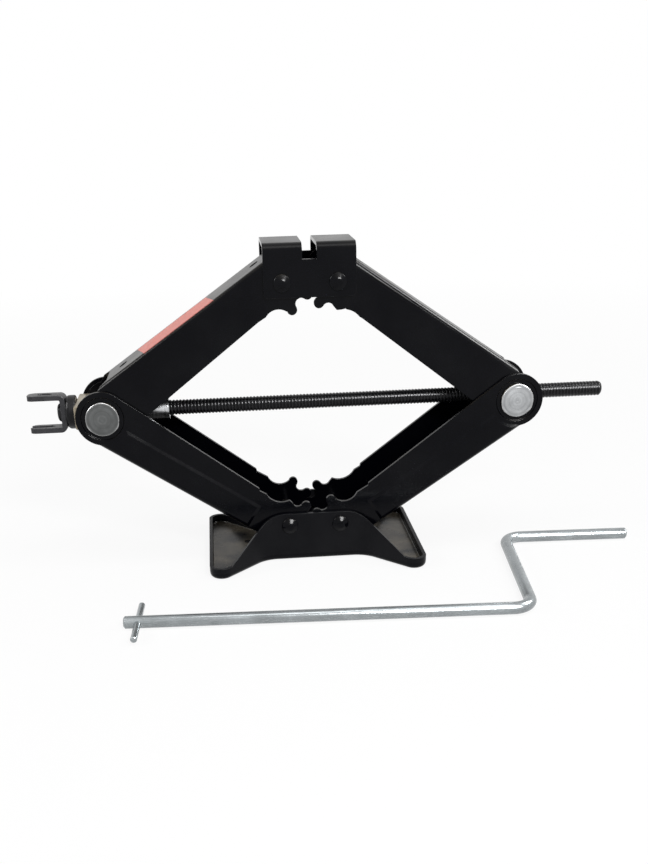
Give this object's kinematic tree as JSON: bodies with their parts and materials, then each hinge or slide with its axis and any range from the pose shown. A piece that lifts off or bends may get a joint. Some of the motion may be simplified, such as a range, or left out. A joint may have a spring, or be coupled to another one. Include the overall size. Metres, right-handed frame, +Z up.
{
  "type": "mechanical scissor jack",
  "caption": "Black screw-driven scissor jack: geared channel arms between a stamped base and a notched saddle, with a slotted drive fork and a loose bent crank.",
  "frame": {"origin": "on the floor under the middle of the base plate", "axes": "+X along the screw from the drive fork to the free end, +Y across the jack away from the crank, +Z up"},
  "size_m": [0.4473, 0.2104, 0.2258],
  "materials": {
    "black_paint": "semi-gloss black paint",
    "plated_trunnion": "turned and plated steel",
    "black_screw": "oiled black oxide",
    "bright_sleeve": "bright zinc plate",
    "dark_steel": "dark phosphated steel",
    "bearing_steel": "ground bearing steel",
    "zinc_plate": "zinc-plated bar"
  },
  "bodies": {
    "base": {"base_plate": "black_paint", "base_rivet_left": "black_paint", "base_rivet_right": "black_paint"},
    "lower_left": {"lower_arm_left": "black_paint"},
    "lower_right": {"lower_arm_right": "black_paint"},
    "upper_left": {"upper_arm_left": "black_paint"},
    "upper_right": {"upper_arm_right": "black_paint"},
    "saddle_group": {"saddle": "black_paint", "saddle_rivet_left": "black_paint", "saddle_rivet_right": "black_paint"},
    "left_trunnion": {"thrust_trunnion": "plated_trunnion", "thrust_washer": "bearing_steel"},
    "right_trunnion": {"nut_trunnion": "plated_trunnion"},
    "screw": {"lead_screw": "black_screw", "spacer_sleeve": "bright_sleeve", "thrust_cup": "dark_steel", "thrust_balls": "bearing_steel", "drive_fork": "dark_steel"},
    "crank": {"crank_rod": "zinc_plate", "crank_cross_pin": "zinc_plate"}
  },
  "joints": [
    {"name": "lift", "type": "hinge", "parent": "base", "child": "lower_left", "pos_m": [-0.019, 0, 0.0276], "axis": [0, 1, 0], "range_deg": [-25, 27]},
    {"name": "lower_right_pivot", "type": "hinge", "parent": "base", "child": "lower_right", "pos_m": [0.019, 0, 0.0276], "axis": [0, 1, 0], "range_deg": [-27, 25]},
    {"name": "left_pin_pivot", "type": "hinge", "parent": "lower_left", "child": "left_trunnion", "pos_m": [-0.14862, 0, 0.11404], "axis": [0, 1, 0], "range_deg": [-27, 25]},
    {"name": "right_pin_pivot", "type": "hinge", "parent": "lower_right", "child": "right_trunnion", "pos_m": [0.14862, 0, 0.11404], "axis": [0, 1, 0], "range_deg": [-25, 27]},
    {"name": "upper_left_pivot", "type": "hinge", "parent": "lower_left", "child": "upper_left", "pos_m": [-0.14862, 0, 0.11404], "axis": [0, 1, 0], "range_deg": [-54, 50]},
    {"name": "upper_right_pivot", "type": "hinge", "parent": "lower_right", "child": "upper_right", "pos_m": [0.14862, 0, 0.11404], "axis": [0, 1, 0], "range_deg": [-50, 54]},
    {"name": "saddle_pivot", "type": "hinge", "parent": "upper_left", "child": "saddle_group", "pos_m": [-0.019, 0, 0.20049], "axis": [0, 1, 0], "range_deg": [-25, 27]},
    {"name": "screw_turn", "type": "hinge", "parent": "left_trunnion", "child": "screw", "pos_m": [-0.14862, 0, 0.11404], "axis": [1, 0, 0], "continuous": true},
    {"name": "crank_draw", "type": "slide", "parent": "base", "child": "crank", "axis": [0, -1, 0], "range_m": [0, 0.2]}
  ],
  "couplings": [
    {"joint": "lower_right_pivot", "follows": "lift", "ratio": -1},
    {"joint": "left_pin_pivot", "follows": "lift", "ratio": -1},
    {"joint": "right_pin_pivot", "follows": "lift", "ratio": 1},
    {"joint": "upper_left_pivot", "follows": "lift", "ratio": -2},
    {"joint": "upper_right_pivot", "follows": "lift", "ratio": 2},
    {"joint": "saddle_pivot", "follows": "lift", "ratio": 1}
  ]
}
